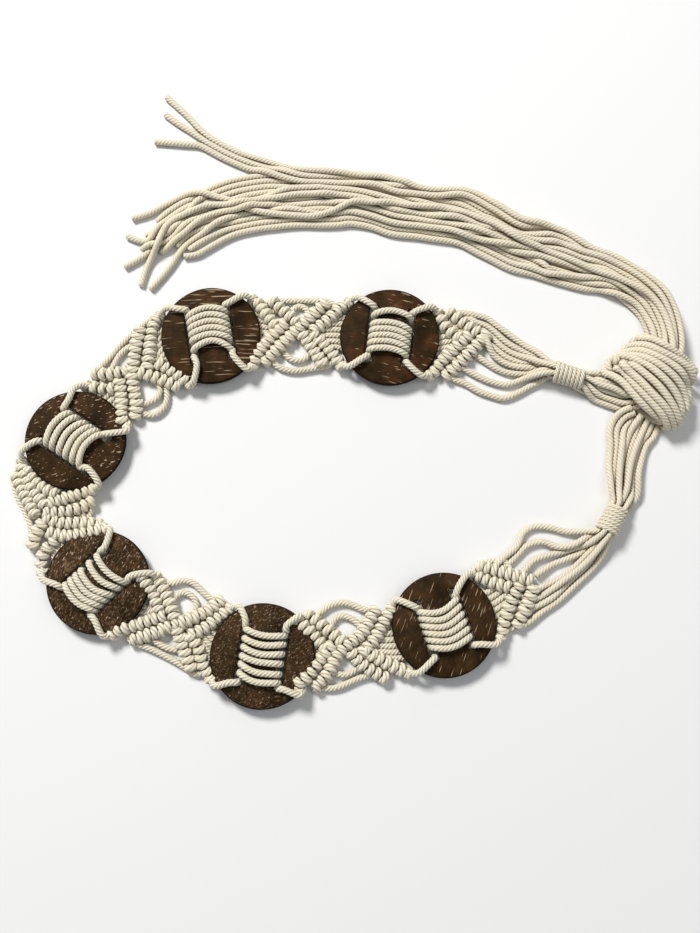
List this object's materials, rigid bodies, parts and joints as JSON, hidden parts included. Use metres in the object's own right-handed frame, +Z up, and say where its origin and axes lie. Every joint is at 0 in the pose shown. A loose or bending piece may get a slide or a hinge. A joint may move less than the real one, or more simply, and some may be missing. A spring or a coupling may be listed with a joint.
{
  "type": "braided belt",
  "caption": "Knotted cotton cord belt with slotted coconut shell discs, tied in a loop with an overhand knot and a long tail of loose cords.",
  "frame": {"origin": "on the surface that the belt lies on, below the middle of its bounding box", "axes": "+Z up from the surface, +X towards the overhand knot, +Y from the loop towards the tail that lies beside it"},
  "size_m": [0.401, 0.3802, 0.0272],
  "materials": {
    "cotton_cord": "matte twisted cotton",
    "coconut_shell": "polished, satin"
  },
  "bodies": {
    "root": {"end_panel_a": "cotton_cord", "knotted_panel_1": "cotton_cord", "knotted_panel_2": "cotton_cord", "knotted_panel_3": "cotton_cord", "knotted_panel_4": "cotton_cord", "knotted_panel_5": "cotton_cord", "end_panel_b": "cotton_cord", "lacing_1": "cotton_cord", "lacing_2": "cotton_cord", "lacing_3": "cotton_cord", "lacing_4": "cotton_cord", "lacing_5": "cotton_cord", "lacing_6": "cotton_cord", "side_cord_1_inside": "cotton_cord", "side_cord_1_outside": "cotton_cord", "side_cord_2_inside": "cotton_cord", "side_cord_2_outside": "cotton_cord", "side_cord_3_inside": "cotton_cord", "side_cord_3_outside": "cotton_cord", "side_cord_4_inside": "cotton_cord", "side_cord_4_outside": "cotton_cord", "side_cord_5_inside": "cotton_cord", "side_cord_5_outside": "cotton_cord", "side_cord_6_inside": "cotton_cord", "side_cord_6_outside": "cotton_cord", "cord_fan_a": "cotton_cord", "cord_fan_b": "cotton_cord", "end_wrap_a": "cotton_cord", "end_wrap_b": "cotton_cord", "neck_a": "cotton_cord", "neck_b": "cotton_cord", "tie_knot": "cotton_cord", "tail": "cotton_cord", "shell_disc_1": "coconut_shell", "shell_disc_2": "coconut_shell", "shell_disc_3": "coconut_shell", "shell_disc_4": "coconut_shell", "shell_disc_5": "coconut_shell", "shell_disc_6": "coconut_shell"}
  },
  "joints": []
}
